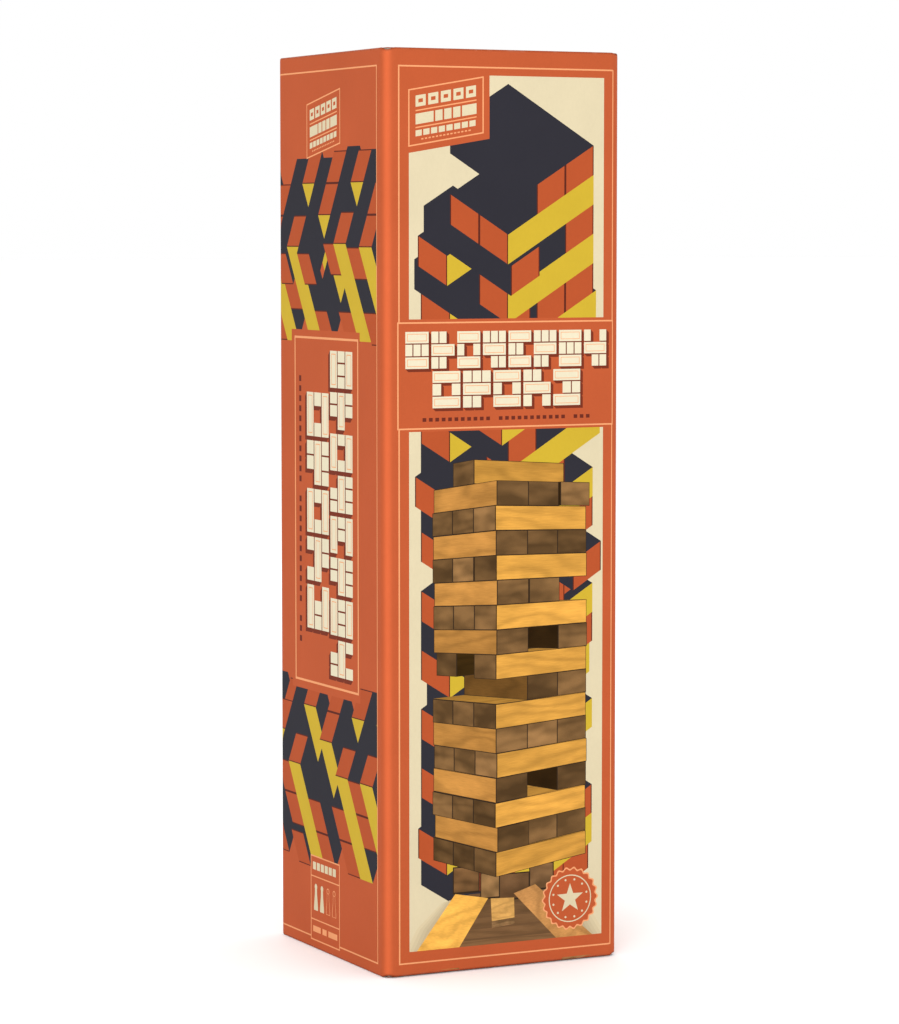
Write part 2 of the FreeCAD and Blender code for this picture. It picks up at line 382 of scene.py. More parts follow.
# ---- The wooden blocks -------------------------------------------------------------------
# Fifty-four blocks of pale pine in eighteen layers of three, each layer turned across the one
# below. The blocks are planed, cut to length and tumbled smooth, and are left unfinished.

pine_pale = (0.640, 0.440, 0.240, 1)
pine_dark = (0.430, 0.245, 0.105, 1)
pine_end = (0.480, 0.300, 0.150, 1)
block_gap = 0.1
block_ease = 0.8
layers_in_box = 18

# Wood grain: a place in millimetres, x along the grain, gives the lines of the year rings.
wood_grain, grain_in, grain_out = shader_group(
    "wood grain", {"Place": ("Vector", None), "End": ("Float", 0.0)},
    {"Rings": "Float", "Fibres": "Float"})
stretched = (0.010, 0.035, 0.035)
sway = noise(wood_grain, grain_in["Place"], 1.0, 2, stretched)
depth_in_log = add_node(wood_grain, "Mapping", {"Vector": grain_in["Place"], "Scale": (0.004, 1, 1),
                                                "Location": (0, 38, 22)}).outputs[0]
from_heart = add_node(wood_grain, "VectorMath", {0: depth_in_log}, operation="LENGTH").outputs["Value"]
rings = maths(wood_grain, "SINE", maths(wood_grain, "MULTIPLY", maths(
    wood_grain, "ADD", from_heart, maths(wood_grain, "MULTIPLY", sway, 16)), 2.1))
rings = maths(wood_grain, "POWER", maths(wood_grain, "MULTIPLY_ADD", rings, 0.5, 0.5), 1.8)
side_fibres = noise(wood_grain, grain_in["Place"], 2.2, 4, (0.05, 1, 1))
end_fibres = noise(wood_grain, grain_in["Place"], 3.5, 3)
fibres = add_node(wood_grain, "Mix", {0: grain_in["End"], 2: side_fibres, 3: end_fibres}).outputs[0]
wood_grain.links.new(rings, grain_out["Rings"])
wood_grain.links.new(fibres, grain_out["Fibres"])

pine, pine_tree, pine_shader = new_material("planed pine", 0.6)
grain_place_read = add_node(pine_tree, "Attribute", attribute_name="grain").outputs["Vector"]
end_read = add_node(pine_tree, "Attribute", attribute_name="end_grain").outputs["Fac"]
tone_read = add_node(pine_tree, "Attribute", attribute_name="block_tone").outputs["Fac"]
pine_grain = place_group(pine_tree, wood_grain, {"Place": grain_place_read, "End": end_read})
pine_side = mixed_colour(pine_tree, maths(pine_tree, "MULTIPLY", pine_grain["Rings"], 0.55),
                         pine_pale, pine_dark)
pine_cut = mixed_colour(pine_tree, maths(pine_tree, "MULTIPLY", pine_grain["Rings"], 0.6),
                        pine_end, pine_dark)
pine_colour = mixed_colour(pine_tree, end_read, pine_side, pine_cut)
pine_shade = maths(pine_tree, "MULTIPLY", tone_read,
                   maths(pine_tree, "MULTIPLY_ADD", pine_grain["Fibres"], 0.5, 0.75))
pine_tree.links.new(mixed_colour(pine_tree, 1.0, pine_colour, pine_shade, "MULTIPLY"),
                    pine_shader.inputs["Base Color"])
bumped(pine_tree, pine_shader, pine_grain["Fibres"], 0.00012)

layer_low, layer_high = (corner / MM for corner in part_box("layer_01"))
block_pitch = (layer_high.y - layer_low.y + block_gap) / 3
block_chance = random.Random(54)
for number in range(1, layers_in_box + 1):
    node_name = f"layer_{number:02d}"
    low, high = (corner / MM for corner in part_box(node_name))
    blocks = []
    for slot_number in range(3):
        start, end = low.copy(), high.copy()
        across_axis = 1 if number % 2 else 0
        start[across_axis] = low[across_axis] + slot_number * block_pitch
        end[across_axis] = start[across_axis] + block_pitch - block_gap
        block = eased_block("block", start, end, block_ease, 3)
        mesh = block.data
        shift = Vector([block_chance.uniform(-1, 1) * reach for reach in (900, 14, 14)])
        flipped = block_chance.choice((-1, 1))
        tone = block_chance.uniform(0.86, 1.12)
        along_axis = 1 - across_axis
        middle = (start + end) / 2
        places, ends = [], []
        for vertex in mesh.vertices:
            here = vertex.co / MM - middle
            places += [flipped * here[along_axis] + shift.x, here[across_axis] + shift.y, here.z + shift.z]
        for face in mesh.polygons:
            ends += [float(abs(face.normal[along_axis]) > 0.6)] * face.loop_total
        mesh.attributes.new("grain", "FLOAT_VECTOR", "POINT").data.foreach_set("vector", places)
        mesh.attributes.new("end_grain", "FLOAT", "CORNER").data.foreach_set("value", ends)
        mesh.attributes.new("block_tone", "FLOAT", "POINT").data.foreach_set(
            "value", [tone] * len(mesh.vertices))
        blocks.append(block)
    stand_for(joined(blocks, f"block_layer_{number:02d}"), node_name, "box", pine)

# ---- The stacking sleeve -----------------------------------------------------------------
# A U of thick brown kraft card round the stack's back and sides, used to square the layers
# up when the tower is built. It is creased at its two back corners.

kraft_brown = (0.500, 0.315, 0.160, 1)
sleeve_card = 1.5
sleeve_fold = 1.9
sleeve_ease = 0.2

kraft = fibrous("kraft card", 0.8, kraft_brown, 0.6, 0.00006)

sleeve_low, sleeve_high = (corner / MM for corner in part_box("stacking_sleeve"))
sleeve = eased_block("stacking_sleeve_folded", sleeve_low, sleeve_high, 0)
bpy.ops.object.mode_set(mode="EDIT")
sleeve_mesh = bmesh.from_edit_mesh(sleeve.data)
for face in sleeve_mesh.faces:
    face.select_set(abs(face.normal.z) > 0.5 or face.normal.y < -0.5)
bpy.ops.mesh.delete(type="FACE")
bpy.ops.mesh.select_mode(type="EDGE")
sleeve_mesh = bmesh.from_edit_mesh(sleeve.data)
for edge in sleeve_mesh.edges:
    edge.select_set(all(vertex.co.y > sleeve_high.y * MM - 1e-5 for vertex in edge.verts)
                    and abs(edge.verts[0].co.z - edge.verts[1].co.z) > 0.01)
bpy.ops.mesh.bevel(offset=sleeve_fold * MM, segments=5, affect="EDGES")
bpy.ops.mesh.select_mode(type="VERT")
bpy.ops.object.mode_set(mode="OBJECT")
thicken = sleeve.modifiers.new("thickness", "SOLIDIFY")
thicken.thickness = sleeve_card * MM
thicken.offset = -1
thicken.use_even_offset = True
soften = sleeve.modifiers.new("soft edges", "BEVEL")
soften.width = sleeve_ease * MM
soften.segments = 2
soften.angle_limit = math.radians(50)
apply_modifiers(sleeve)
bpy.ops.object.shade_smooth_by_angle(angle=math.radians(35))
stand_for(sleeve, "stacking_sleeve", "box", kraft)

# ---- The case's boards -------------------------------------------------------------------
# Four panels of the same grey board: the back and the left side, glued to the tray, and the
# front cover and the flap, which swing. The wrap rounds their edges, so the boards are eased.

case_ease = 0.55
case_inset = 0.2
glue_inset = 0.03
for board, body in (("side_board", "box"), ("back_board", "box"), ("front_board", "cover"),
                    ("flap_board", "flap")):
    low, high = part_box(board)
    flat_axis = min((0, 1), key=lambda axis: high[axis] - low[axis])
    inset = [case_inset] * 3
    inset[flat_axis] = glue_inset
    fit_over(board, board + "_panel", body, greyboard, case_ease, inset)


# ---- The printed sheet -------------------------------------------------------------------
# One sheet of paper, offset printed and laminated with matt film. It is glued round the back,
# the left side, the front cover and the flap, and turned in over the ends of their boards.
# Its artwork is laid out flat in millimetres: across from the back panel's free edge, and
# down from the top. Later shapes are painted over earlier ones.

flap_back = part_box("flap_wrap")[1].y
cover_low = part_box("front_wrap")[0]
lining_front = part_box("front_lining")[0].y
wide = (box_high.x - box_low.x) / MM
deep = (box_high.y - box_low.y) / MM
tall = box_tall / MM
fold_radius = (cover_low.x - box_low.x) / MM
cover_lift = cover_low.z / MM
panel_thick = (lining_front - box_low.y) / MM
roll_radius = panel_thick / 2
turn_in = 7.0

side_at = wide
front_at = wide + deep
flap_at = 2 * wide + deep
sheet_end = flap_at + (flap_back - box_low.y) / MM

inks = {
    "ground": (0.415, 0.082, 0.028),
    "ends": (0.376, 0.070, 0.022),
    "rule": (0.690, 0.290, 0.130),
    "cream": (0.576, 0.496, 0.328),
    "letter": (0.640, 0.576, 0.416),
    "navy": (0.024, 0.023, 0.030),
    "yellow": (0.488, 0.336, 0.028),
    "shadow": (0.152, 0.027, 0.013),
    "gap": (0.088, 0.018, 0.011),
    "crack": (0.030, 0.018, 0.010),
    "caption": (0.120, 0.022, 0.013),
}
flat_print, long_wood, end_wood = 0.0, 1.0, 2.0
rule_wide, thin_rule = 0.5, 0.45
least_area = 0.002

printed = []


def paint(outline, ink, finish=flat_print, grain=None):
    """Print a flat shape. Wood shapes also say where their grain starts and which way it runs."""
    turns = sum((x1 - x0) * (y1 + y0) for (x0, y0), (x1, y1) in zip(outline, outline[1:] + outline[:1]))
    if abs(turns) > 2 * least_area:
        colour = inks[ink] if isinstance(ink, str) else ink
        printed.append((list(outline) if turns < 0 else list(reversed(outline)), colour, finish, grain))


def box_corners(left, top, right, bottom):
    return [(left, top), (right, top), (right, bottom), (left, bottom)]


def paint_box(left, top, right, bottom, ink, place=lambda across, down: (across, down)):
    paint([place(*corner) for corner in box_corners(left, top, right, bottom)], ink)


def paint_frame(corners, thick, ink):
    """A ruled frame whose outer corners are given clockwise, its lines a given thickness."""
    middle_x = sum(x for x, _ in corners) / len(corners)
    middle_y = sum(y for _, y in corners) / len(corners)
    inner = [(x - math.copysign(thick, x - middle_x), y - math.copysign(thick, y - middle_y))
             for x, y in corners]
    for number in range(len(corners)):
        after = (number + 1) % len(corners)
        paint([corners[number], corners[after], inner[after], inner[number]], ink)


def placing(across, down, scale=1.0, turned=False):
    """Where a drawing's own right and down go on the sheet; turned lays it on its right side."""
    def on_sheet(right, below):
        if turned:
            return across - scale * below, down + scale * right
        return across + scale * right, down + scale * below
    return on_sheet


# The flat drawing of the tower: tops and left-hand long sides in navy, right-hand long sides
# in yellow, block ends in red-brown.
draw_step = 10.5
draw_slope = 0.62
draw_layer = 9.6
draw_gap = 0.035


def isometric_tower(place, layer_count, seed, gaps_from=0.0, moves=None):
    """A tower of layers, from its base up. A move is a layer's missing row, pushed row and push."""
    chance = random.Random(seed)

    def spot(right_way, left_way, height):
        return place((right_way - left_way) * draw_step,
                     -((right_way + left_way) * draw_step * draw_slope + height * draw_layer))

    def quad(points, ink, layer):
        """A face whose points are given along, across and up a block of this layer."""
        paint([spot(*((along, across) if layer % 2 else (across, along)), height)
               for along, across, height in points], ink)

    for layer in range(layer_count):
        missing = chance.choice((0, 1, 1, 2, None)) if layer >= gaps_from else None
        pushed = chance.choice((0, 2, None))
        push = chance.choice((-0.2, -0.1, 0.12, 0.25))
        missing, pushed, push = (moves or {}).get(layer, (missing, pushed, push))
        low, high = layer, layer + 1
        for row in (2, 1, 0):
            if row == missing:
                continue
            shift = push if row == pushed else 0.0
            near, far = shift, 3 + shift
            quad([(near, row, high), (far, row, high), (far, row + 1, high), (near, row + 1, high)],
                 "navy", layer)
            quad([(near, row, low), (far, row, low), (far, row, high), (near, row, high)],
                 "yellow" if layer % 2 else "navy", layer)
            for inset, ink in ((0, "gap"), (draw_gap, "ends")):
                start, end = row + inset, row + 1 - inset
                quad([(near, start, low), (near, end, low), (near, end, high), (near, start, high)],
                     ink, layer)


# The picture of the real wooden tower: the same blocks seen in perspective, a corner towards
# the viewer, in wood colours.
picture_scale = 0.575
picture_turn = math.radians(35)
picture_distance = 750
picture_block = (75, 25, 14.2)
picture_gaps = {3: 1, 7: 0, 8: 1, 9: 1, 11: 2}
picture_crack = 0.17
right_wood_ink = (0.50, 0.245, 0.043)
left_wood_ink = (0.37, 0.170, 0.038)
end_wood_ink = (0.172, 0.090, 0.033)


def wooden_tower(place, layer_count, eye_height, seed):
    chance = random.Random(seed)
    length, width, thick = picture_block

    def spot(right_way, left_way, height):
        aside = right_way * math.cos(picture_turn) - left_way * math.sin(picture_turn)
        away = right_way * math.sin(picture_turn) + left_way * math.cos(picture_turn)
        shrink = picture_scale / (1 + away / picture_distance)
        return place(aside * shrink, -(height - eye_height) * shrink)

    def face(start, run, rise, ink, finish):
        """One face of a block: a corner, the vector along its grain and the one up it."""
        corners = [start, [s + r for s, r in zip(start, run)],
                   [s + r + u for s, r, u in zip(start, run, rise)],
                   [s + u for s, u in zip(start, rise)]]
        flat = [spot(*corner) for corner in corners]
        middle = [sum(point[axis] for point in flat) / 4 for axis in (0, 1)]
        paint(flat, "crack")
        inner = [tuple(middle[axis] + (point[axis] - middle[axis])
                       * (1 - picture_crack / max(0.4, abs(point[axis] - middle[axis])))
                       for axis in (0, 1)) for point in flat]
        grain = (inner[0], inner[1], inner[3], Vector(run).length, Vector(rise).length,
                 chance.uniform(0, 500))
        paint(inner, ink, finish, grain)

    core = thick * layer_count

    def tone(colour, spread, dim):
        light = dim * chance.uniform(1 - spread, 1 + spread)
        return tuple(light * part for part in colour)

    def block(near_corner, length_right, dim):
        right_way, left_way, base = near_corner
        along = (length, 0, 0) if length_right else (0, length, 0)
        across = (0, width, 0) if length_right else (width, 0, 0)
        up = (0, 0, thick)
        long_ink = tone(right_wood_ink if length_right else left_wood_ink, 0.18, dim)
        hidden = max(right_way, left_way) > 0.6 * width and base < core
        inside = (0.35 if picture_gaps.get(round(base / thick)) == 0 else 0.05) if hidden else 1.0
        face(near_corner, along, up, tuple(inside * part for part in long_ink), long_wood)
        face(near_corner, across, up, tone(end_wood_ink, 0.45, dim), end_wood)
        if base + thick < eye_height:
            face((right_way, left_way, base + thick), along, across,
                 tuple(0.55 * part for part in long_ink), long_wood)

    face((width, width, 0), (width, 0, 0), (0, 0, core), inks["crack"], flat_print)
    face((width, width, 0), (0, width, 0), (0, 0, core), inks["crack"], flat_print)
    far_first = sorted(range(layer_count + 1),
                       key=lambda layer: -abs((layer + 0.5) * thick - eye_height))
    for layer in far_first:
        length_right = layer % 2 == 0
        missing = picture_gaps.get(layer)
        sway = chance.uniform(-1.2, 1.2)
        dim = 0.68 if layer == layer_count else 0.72 + 0.28 * min(1.0, (layer + 1) / 3)
        for row in (2, 1, 0):
            if row == missing or layer == layer_count and row != 1:
                continue
            slip = sway + chance.choice((0, 0, 0, chance.uniform(-3.5, 3.5)))
            side = row * width + 0.4 * sway
            corner = (slip, side, layer * thick) if length_right else (side, slip, layer * thick)
            block(corner, length_right, dim)


def wooden_bar(place, corners, lean, ink, top_ink):
    """A fallen block at the tower's foot: its upper face, and its side hanging below one edge."""
    corners = [place(across, down) for across, down in corners]
    a, b, c, d = corners
    side = [d, c, (c[0] + lean[0], c[1] + lean[1]), (d[0] + lean[0], d[1] + lean[1])]
    paint(side, "crack")
    paint(side, ink, end_wood, (side[0], side[1], side[3], 60, 14, 33.0))
    paint(corners, top_ink, long_wood, (a, b, d, 75, 25, 71.0))


# The banner: two rows of cream block shapes with an inline rule and a cast shadow, in a frame.
banner_wide, banner_tall = 79.2, 34.6
banner_rows = ((2.9, 3.1, 8, 9.3, 8.3), (12.6, 15.9, 5, 11.0, 10.0))
course_tall, course_gap = 3.7, 0.4
cast_shadow = 1.0


def block_frieze(place):
    """The banner. Each of its rows has a left, a top, a count, a pitch and a stack's width."""
    chance = random.Random(12)
    paint_box(0, 0, banner_wide, banner_tall, "rule", place)
    paint_box(rule_wide, rule_wide, banner_wide - rule_wide, banner_tall - rule_wide, "ground", place)
    shapes = []
    for left, top, count, pitch, stack_wide in banner_rows:
        third = (stack_wide - 2 * course_gap) / 3
        for number in range(count):
            for course in range(3):
                x, y = left + number * pitch, top + course * (course_tall + course_gap)
                if (course + number) % 2 == 0:
                    shapes.append((x, y, x + stack_wide, y + course_tall, True))
                    continue
                absent = chance.choice((0, 1, 2, None))
                for slot in range(3):
                    start = x + slot * (third + course_gap)
                    if slot != absent:
                        shapes.append((start, y, start + third, y + course_tall, False))
    for left, top, right, bottom, _ in shapes:
        shadow = [(left, bottom), (left, top + cast_shadow), (right, top)]
        shadow += box_corners(left + cast_shadow, top + cast_shadow,
                              right + cast_shadow, bottom + cast_shadow)[1:]
        paint([place(*corner) for corner in shadow], "shadow")
    for left, top, right, bottom, is_long in shapes:
        paint_box(left, top, right, bottom, "letter", place)
        for inset, ink in ((0.65, "rule"), (0.85, "letter")) if is_long else ():
            paint_box(left + inset, top + inset, right - inset, bottom - inset, ink, place)
    for number in range(27):
        x = 9.0 + number * 2.3
        if number % 12 != 11:
            paint_box(x, 30.9, x + 1.35, 32.1, "caption", place)


# The maker's tile of the wrap, here with plain bars and squares.
def slanted_tile(place, width=27.0, height=18.3, rise=0.172):
    def lean(x, y):
        return place(x, y - rise * x)

    def bar(left, top, right, bottom, ink="cream"):
        paint_box(left, top, right, bottom, ink, lean)

    bar(0, 0, width, height, "rule")
    bar(thin_rule, thin_rule, width - thin_rule, height - thin_rule, "ground")
    for number in range(5):
        bar(2.6 + number * 4.5, 2.4, 6.2 + number * 4.5, 6.0)
        bar(3.6 + number * 4.5, 3.6, 5.2 + number * 4.5, 4.8, "ground")
    bar(2.6, 7.0, width - 2.6, 7.4, "rule")
    for left, right in ((2.6, 9.0), (9.6, 12.2), (12.8, 15.4), (16.0, 18.6), (19.2, 24.4)):
        bar(left, 8.2, right, 11.6)
    bar(2.6, 12.4, width - 2.6, 12.8, "rule")
    for number in range(8):
        bar(2.6 + number * 2.75, 13.5, 4.8 + number * 2.75, 15.4)
    for number in range(14):
        bar(4.6 + number * 1.3, 16.3, 5.4 + number * 1.3, 16.75, "rule")


def ring_points(middle, radius, count, wave=0.0, lobes=0, start=0.0):
    """Points round a ring, whose edge may wave in lobes. The first is on the crest of a lobe."""
    points = []
    for number in range(count):
        turn = 2 * math.pi * number / count
        reach = radius + wave * math.cos(lobes * turn)
        points.append((middle[0] + reach * math.cos(turn + start),
                       middle[1] + reach * math.sin(turn + start)))
    return points


# The round seal on the front cover: a scalloped disc with a plain star.
def scalloped_seal(middle, radius):
    lobes, steps = 22, 6
    paint(ring_points(middle, radius, lobes * steps, 0.42, lobes), "rule")
    paint(ring_points(middle, radius - 0.55, lobes * steps, 0.42, lobes), "ground")
    paint(ring_points(middle, radius * 0.78, 48), "cream")
    paint(ring_points(middle, radius * 0.745, 48), "ground")
    paint(ring_points(middle, radius * 0.35, 10, radius * 0.15, 5, -math.pi / 2), "cream")
    for dot in ring_points(middle, radius * 0.63, 12, start=0.26):
        paint(ring_points(dot, 0.38, 8), "cream")


def pawn(place, left, ink, grow=0.0):
    """A playing piece: a round head over a waisted body."""
    head = ring_points((left + 2.0, 10.6), 1.05 + grow, 14)
    body = [(1.2, 11.3), (2.8, 11.3), (2.9, 13.2), (3.6, 17.4), (3.6, 18.6), (0.4, 18.6),
            (0.4, 17.4), (1.1, 13.2)]
    paint([place(left + 2.0 + (x - 2.0) * (1 + grow * 0.6), 15 + (y - 15) * (1 + grow * 0.14))
           for x, y in body], ink)
    paint([place(x, y) for x, y in head], ink)


def players_box(place):
    """A small box on the sides: a row of squares, four playing pieces and a row of bars."""
    width, height = 23.4, 29
    paint_box(0, 0, width, height, "rule", place)
    paint_box(thin_rule, thin_rule, width - thin_rule, height - thin_rule, "ground", place)
    for number in range(6):
        paint_box(1.8 + 3.2 * number, 2.2, 4.3 + 3.2 * number, 4.8, "cream", place)
    for top in (6.9, 21.6):
        paint_box(thin_rule, top, width - thin_rule, top + 0.4, "rule", place)
    for number in range(4):
        left = 2.2 + number * 4.9
        pawn(place, left, "cream" if number < 2 else "rule")
        if number > 1:
            pawn(place, left, "ground", -0.32)
    for left, right in ((1.8, 8.0), (9.4, 12.8), (14.2, 21.4)):
        paint_box(left, 24.0, right, 26.0, "rule", place)


# Laying out the artwork, face by face. The ground comes first, as one shape with the turned-in
# edges, their corners cut off at 45 degrees.
roll_length = math.pi * roll_radius
flat_left, flat_right = roll_radius, sheet_end - roll_radius
flat_top, flat_bottom = roll_radius, tall - roll_radius
trimmed_corner_steps = 4


def sheet_corner(across, down, first_quarter):
    """The trimmed corner of the sheet, clockwise, round the last flat point of a panel."""
    start = math.pi / 2 * first_quarter
    before = Vector((math.cos(start), math.sin(start)))
    after = Vector((-before.y, before.x))
    middle = Vector((across, down))
    points = [middle + before * (roll_length + turn_in) - after * turn_in]
    for step in range(trimmed_corner_steps + 1):
        turn = start + math.pi / 2 * step / trimmed_corner_steps
        points.append(middle + roll_length * Vector((math.cos(turn), math.sin(turn))))
    points.append(middle + after * (roll_length + turn_in) - before * turn_in)
    return [tuple(point) for point in points]


paint(sheet_corner(flat_right, flat_bottom, 0) + sheet_corner(flat_left, flat_bottom, 1)
      + sheet_corner(flat_left, flat_top, 2) + sheet_corner(flat_right, flat_top, 3), "ground")

# Left side, carried on round the fold to the back, and the flap: the tower lying on its side.
upper_middle, lower_middle = 63.6, 238.8
for base, layers, middle, seed in ((8.0, 16, upper_middle, 5), (8.0, 16, lower_middle, 21),
                                   (flap_at + 7.0, 7, upper_middle, 8),
                                   (flap_at + 7.0, 7, lower_middle, 31)):
    isometric_tower(placing(base, middle, turned=True), layers, seed)

frame_bottom = 296.2
for left, right, margins in ((4.8, side_at + 79.9, ((side_at + 79.9, side_at + 88.0),)),
                             (flap_at + 6.2, sheet_end - 4.8, ((flap_at - 1.8, flap_at + 6.2),
                                                               (sheet_end - 4.8, sheet_end + 3.3)))):
    for start, end in margins:
        paint_box(start, 20, end, 285, "ground")
    paint_frame(box_corners(left, 5.4, right, frame_bottom), rule_wide, "rule")

for side in (side_at, flap_at + 1.5):
    paint_box(side + 12.2, 91.2, side + 66.6, 212.4, "ground")
    block_frieze(placing(side + 65.4, 93.4, 1.47, turned=True))
    slanted_tile(placing(side + 25, 16.3, 0.99))
    players_box(placing(side + 26.6, 268.2))

# Back: three small drawings of how the game goes, with plain bars beside them.
paint_box(9.0, 101.5, 77.0, 203.0, "rule")
paint_box(9.5, 102.0, 76.5, 202.5, "cream")
for number, (layers, seed) in enumerate(((6, 40), (6, 43), (8, 47))):
    top = 130 + number * 33
    isometric_tower(placing(26, top, 0.3), layers, seed, gaps_from=0 if number else 9)
    for line in range(5):
        line_top, line_end = top - 19 + line * 4, 70 - 5 * (line == 4) - 2 * (line % 2)
        paint_box(43, line_top, line_end, line_top + 1.4, "ground")
for left in (20.0, 34.0, 48.0, 62.0):
    paint_box(left - 6, 284.5, left + 5, 291.0, "rule")
    paint_box(left - 5.6, 284.9, left + 4.6, 290.6, "cream")

# Front cover: cream panels with the drawn tower and the picture of the wooden one.
front = front_at
panel_left, panel_top, panel_right, panel_bottom = front + 8.4, 8.4, front + 79.4, 292.2
paint_box(panel_left, panel_top, panel_right, panel_bottom, "cream")
tower_moves = {24: (0, None, 0), 23: (2, None, 0), 22: (1, 0, -0.1), 21: (1, 2, -0.1),
               20: (None, 0, 0.22), 19: (1, 0, 0.1), 12: (None, 1, -1.3)}
isometric_tower(placing(front + 44.1, 290.0), 25, 17, moves=tower_moves)
foot = placing(front, 0)
table_steps = 12
table_middle = 44
table_light, table_dark = (0.56, 0.47, 0.30), (0.120, 0.062, 0.027)
for step in range(table_steps):
    share = step / (table_steps - 1)
    spread = 1 - 0.42 * share
    table_ink = tuple(light + (dark - light) * share for light, dark in zip(table_light, table_dark))
    paint([foot(table_middle + reach * spread, down) for reach, down in (
        (-38, 294), (-33, 285 + 1.5 * share), (-24, 277 - 2 * share),
        (22, 277 - 2 * share), (32, 285 + 1.5 * share), (38, 294))], table_ink)
for step in range(5):
    edge = 293.4 - 3.6 * step
    half = 21 - 2.2 * step
    plank_ink = tuple(light - fade * step for light, fade in
                      ((0.155, 0.014), (0.080, 0.007), (0.034, 0.003)))
    paint([foot(table_middle + reach, down) for reach, down in (
        (-half, edge), (0.8 - half, edge - 3), (half - 0.8, edge - 3), (half, edge))], plank_ink,
          long_wood, (foot(20, edge), foot(70, edge), foot(20, edge - 3), 90, 6, 40.0 * step))
for left, right, top, ink in ((24.5, 33.5, 266, (0.17, 0.085, 0.032)), (34.5, 41, 268.5, (0.24, 0.13, 0.05)),
                              (41.4, 52, 269.5, (0.13, 0.066, 0.028)), (52.6, 61, 267, (0.19, 0.10, 0.042))):
    paint_box(left - 0.4, top - 0.4, right + 0.4, top + 8.6, "crack", foot)
    paint([foot(*corner) for corner in box_corners(left, top, right, top + 8)], ink, end_wood,
          (foot(left, top), foot(right, top), foot(left, top + 8), 25, 14, 7.0 * left))
wooden_bar(foot, [(25, 274.5), (37, 276.8), (25, 294.4), (10, 293.6)], (1.5, 5),
           (0.32, 0.15, 0.045), (0.70, 0.36, 0.066))
wooden_bar(foot, [(46.5, 276), (54.5, 273.6), (78, 294), (66, 296)], (-2, 5),
           (0.30, 0.14, 0.05), (0.42, 0.20, 0.062))
wooden_bar(foot, [(38, 277), (46.6, 277.4), (46.8, 284), (38.4, 284.6)], (0, 2.2),
           (0.22, 0.12, 0.05), (0.50, 0.27, 0.075))
wooden_tower(placing(front + 40.0, 172.3), 16, 170, 4)
for left, top, right, bottom in ((front - 6.2, 7, panel_left, 295), (panel_right, 7, front + 90, 295),
                                 (panel_left - 0.4, 7, panel_right + 1.6, panel_top),
                                 (panel_left - 0.4, panel_bottom, panel_right + 1.6, 299),
                                 (front + 4.4, 86.7, front + 83.4, 122.9)):
    paint_box(left, top, right, bottom, "ground")
paint([(front + 8, 8), (front + 37.3, 8), (front + 37.3, 28.7), (front + 8, 33.6)], "ground")
slanted_tile(placing(front + 8.2, 13.3))
paint_frame(box_corners(front + 4.6, 5.6, front + 83.2, frame_bottom), rule_wide, "rule")
block_frieze(placing(front + 4.2, 87.6))
scalloped_seal((front + 67.5, 279.4), 10.2)

# The sheet is cut into faces along every printed edge and along the lines it bends on.
fold_steps = 10
roll_steps = 6
reach = roll_length + turn_in


def roll_lines(low, high):
    """The lines that the sheet rolls on past its first and last flat lines."""
    return [end for flat, way in ((low, -1), (high, 1)) for end in
            (flat + way * roll_length * step / roll_steps for step in range(roll_steps + 1))]


bend_lines_across = [corner - fold_radius + 2 * fold_radius * step / fold_steps
                     for corner in (side_at, front_at, flap_at) for step in range(fold_steps + 1)]
bend_lines_across += roll_lines(flat_left, flat_right)
bend_lines_down = roll_lines(flat_top, flat_bottom)

lines_down = [((across, -reach), (across, tall + reach)) for across in bend_lines_across]
lines_across = [((-reach, down), (sheet_end + reach, down)) for down in bend_lines_down]


def cut_out(lines):
    """Cut the printed shapes along their edges and the lines: points, and each face's print."""
    points, outlines, edges = [], [], []
    for outline, _, _, _ in printed:
        outlines.append(list(range(len(points), len(points) + len(outline))))
        points += [Vector(point) for point in outline]
    for ends in lines:
        edges.append((len(points), len(points) + 1))
        points += [Vector(point) for point in ends]
    points, _, faces, _, _, painted_by = delaunay_2d_cdt(points, edges, outlines, 1, 1e-4, True)
    return points, [(face, printed[max(shapes)]) for face, shapes in zip(faces, painted_by)
                    if 0 in shapes]


wrap_sheet = cut_out(lines_down + lines_across)

panels = (
    (0, Vector((wide / 2, deep / 2)), Vector((-1, 0)), Vector((0, 1))),
    (side_at, Vector((-wide / 2, deep / 2)), Vector((0, -1)), Vector((-1, 0))),
    (front_at, Vector((-wide / 2, -deep / 2)), Vector((1, 0)), Vector((0, -1))),
    (flap_at, Vector((wide / 2, -deep / 2)), Vector((0, 1)), Vector((1, 0))),
)
fold_dip = 0.7
fold_ease = 0.15
fold_flatten = 0.82
# The painted fold highlight: its half width as a share of the fold, and its strength on the folds other than
# the cover's.
fold_highlight_half = 0.34
other_fold_highlight = 0.25


def edge_roll(beyond):
    """How far past its last flat line the paper stands, how deep it has gone, and its turn."""
    if beyond <= 0:
        return beyond, 0.0, 0.0
    if beyond < roll_length:
        turn = beyond / roll_radius
        return roll_radius * math.sin(turn), roll_radius * (1 - math.cos(turn)), turn
    return roll_length - beyond, 2 * roll_radius, math.pi


